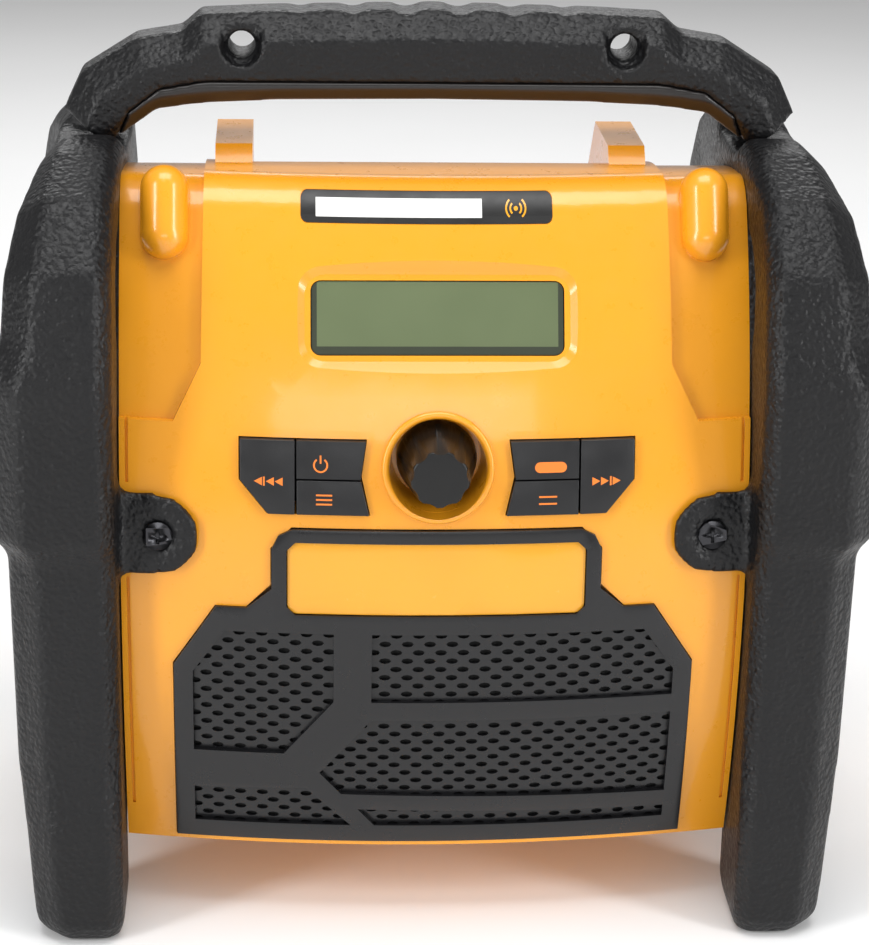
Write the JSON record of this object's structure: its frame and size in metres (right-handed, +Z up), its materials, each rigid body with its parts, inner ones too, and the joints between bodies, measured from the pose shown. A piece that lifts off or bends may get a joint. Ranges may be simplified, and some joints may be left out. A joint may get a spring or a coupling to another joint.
{
  "type": "jobsite radio",
  "caption": "Portable jobsite radio: barrel-shaped housing between two rubber roll cages, carry handle, display, fluted knob, keys, grille and a storage box behind a door.",
  "frame": {"origin": "on the floor under the middle of the object's bounding box", "axes": "+Z up, -Y is the front with the display and grille, +X is the right side seen from the front"},
  "size_m": [0.254, 0.178, 0.267],
  "materials": {
    "yellow_housing": "glossy moulded plastic",
    "black_rubber": "grained rubber overmould",
    "black_grille": "satin moulded plastic",
    "handle_liner": "smooth satin plastic",
    "badge_yellow": "glossy printed plate",
    "label_print": "printed label",
    "display_glass": "clear window",
    "display_panel": "grey-green display",
    "key_black": "matt keys with printed signs",
    "knob_black": "fine matt texture",
    "screw_steel": "black zinc",
    "steel": "plain steel",
    "brass": "plated contact",
    "board_green": "circuit board",
    "dark_inner": "plain dark plastic",
    "cone_paper": "paper cone"
  },
  "bodies": {
    "root": {"front_housing": "yellow_housing", "rear_housing": "yellow_housing", "right_roll_cage": "black_rubber", "left_roll_cage": "black_rubber", "carry_handle": "black_rubber", "handle_underside": "handle_liner", "speaker_grille": "black_grille", "badge_plate": "badge_yellow", "label_plate": "label_print", "lcd_window": "display_glass", "lcd_gasket": "dark_inner", "lcd_module": "display_panel", "key_membrane": "dark_inner", "encoder_body": "steel", "main_board": "board_green", "amplifier_board": "board_green", "left_speaker_frame": "dark_inner", "left_speaker_cone": "cone_paper", "left_speaker_magnet": "steel", "right_speaker_frame": "dark_inner", "right_speaker_cone": "cone_paper", "right_speaker_magnet": "steel", "terminal_block": "dark_inner", "terminal_blades": "brass", "door_hinge_pin": "steel", "aux_jack": "dark_inner", "dc_inlet": "dark_inner", "cage_screws": "screw_steel"},
    "volume_knob": {"volume_knob": "knob_black", "encoder_shaft": "steel"},
    "storage_door": {"storage_door": "yellow_housing"},
    "door_catch": {"door_catch": "black_grille"},
    "key_previous": {"key_previous": "key_black"},
    "key_power": {"key_power": "key_black"},
    "key_menu": {"key_menu": "key_black"},
    "key_mode": {"key_mode": "key_black"},
    "key_enter": {"key_enter": "key_black"},
    "key_next": {"key_next": "key_black"}
  },
  "joints": [
    {"name": "volume_turn", "type": "hinge", "parent": "root", "child": "volume_knob", "pos_m": [0, -0.07779, 0.147], "axis": [0, -1, 0], "continuous": true},
    {"name": "door_swing", "type": "hinge", "parent": "root", "child": "storage_door", "pos_m": [0, 0.0758, 0.1242], "axis": [-1, 0, 0], "range_deg": [0, 90]},
    {"name": "catch_slide", "type": "slide", "parent": "storage_door", "child": "door_catch", "axis": [0, 0, -1], "range_m": [0, 0.003], "stiffness_N_per_m": 100},
    {"name": "key_previous_press", "type": "slide", "parent": "root", "child": "key_previous", "axis": [0, 1, 0], "range_m": [0, 0.0012], "stiffness_N_per_m": 250},
    {"name": "key_power_press", "type": "slide", "parent": "root", "child": "key_power", "axis": [0, 1, 0], "range_m": [0, 0.0012], "stiffness_N_per_m": 250},
    {"name": "key_menu_press", "type": "slide", "parent": "root", "child": "key_menu", "axis": [0, 1, 0], "range_m": [0, 0.0012], "stiffness_N_per_m": 250},
    {"name": "key_mode_press", "type": "slide", "parent": "root", "child": "key_mode", "axis": [0, 1, 0], "range_m": [0, 0.0012], "stiffness_N_per_m": 250},
    {"name": "key_enter_press", "type": "slide", "parent": "root", "child": "key_enter", "axis": [0, 1, 0], "range_m": [0, 0.0012], "stiffness_N_per_m": 250},
    {"name": "key_next_press", "type": "slide", "parent": "root", "child": "key_next", "axis": [0, 1, 0], "range_m": [0, 0.0012], "stiffness_N_per_m": 250}
  ]
}
